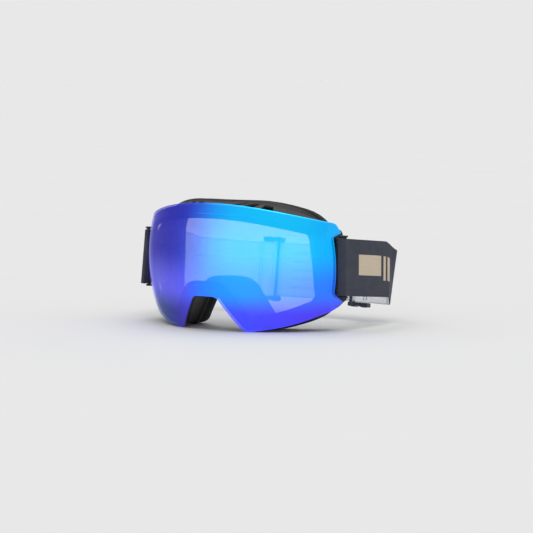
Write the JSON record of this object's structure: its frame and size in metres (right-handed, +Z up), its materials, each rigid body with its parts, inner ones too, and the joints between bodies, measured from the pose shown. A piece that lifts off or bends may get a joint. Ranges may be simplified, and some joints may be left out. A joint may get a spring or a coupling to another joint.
{
  "type": "ski goggles",
  "caption": "Ski goggles with a removable magnetic mirrored lens, flexible frame, layered face foam, hinged outriggers and an adjustable elastic strap.",
  "frame": {"origin": "middle of the bounding box's underside, where the lens's lower lobes rest", "axes": "+X to the wearer's left, +Y towards the back of the wearer's head, +Z up; the lens faces -Y"},
  "size_m": [0.193, 0.1354, 0.1005],
  "materials": {
    "mirror_lens": "multilayer blue mirror coating",
    "carrier_plastic": "moulded, satin",
    "spacer_foam": "closed cell, matt",
    "clear_lens": "clear, anti-fog",
    "magnet_steel": "nickel plated",
    "frame_tpu": "soft satin",
    "vent_foam": "open cell",
    "foam_dark": "open cell",
    "foam_grey": "closed cell",
    "fleece": "brushed pile",
    "webbing": "woven elastic with a printed pattern",
    "silicone": "glossy silicone",
    "outrigger_plastic": "fine texture",
    "pin_steel": "ground",
    "slider_plastic": "fine texture"
  },
  "bodies": {
    "goggles": {"frame": "frame_tpu", "frame_magnets": "magnet_steel", "vent_foam_top": "vent_foam", "vent_foam_bottom": "vent_foam", "foam_base": "foam_dark", "foam_middle": "foam_grey", "fleece_lining": "fleece", "strap_band": "webbing", "grip_strips": "silicone", "hinge_pin_left": "pin_steel", "hinge_pin_right": "pin_steel", "strap_return_left": "webbing", "strap_return_right": "webbing"},
    "lens": {"outer_lens": "mirror_lens", "lens_carrier": "carrier_plastic", "lens_spacer": "spacer_foam", "inner_lens": "clear_lens", "lens_magnets": "magnet_steel"},
    "arm_left": {"outrigger_left": "outrigger_plastic", "strap_loop_left": "webbing"},
    "slider_left": {"strap_slider_left": "slider_plastic", "strap_end_left": "webbing"},
    "arm_right": {"outrigger_right": "outrigger_plastic", "strap_loop_right": "webbing"},
    "slider_right": {"strap_slider_right": "slider_plastic", "strap_end_right": "webbing"}
  },
  "joints": [
    {"name": "lens_pull", "type": "slide", "parent": "goggles", "child": "lens", "axis": [0, -1, 0], "range_m": [0, 0.03]},
    {"name": "outrigger_left", "type": "hinge", "parent": "goggles", "child": "arm_left", "pos_m": [0.086, -0.00868, 0.05033], "axis": [0, 0, 1], "range_deg": [-10, 10]},
    {"name": "strap_slider_left", "type": "slide", "parent": "goggles", "child": "slider_left", "axis": [1, 0, 0], "range_m": [-0.008, 0.008]},
    {"name": "outrigger_right", "type": "hinge", "parent": "goggles", "child": "arm_right", "pos_m": [-0.086, -0.00868, 0.05033], "axis": [0, 0, -1], "range_deg": [-10, 10]},
    {"name": "strap_slider_right", "type": "slide", "parent": "goggles", "child": "slider_right", "axis": [-1, 0, 0], "range_m": [-0.008, 0.008]}
  ]
}
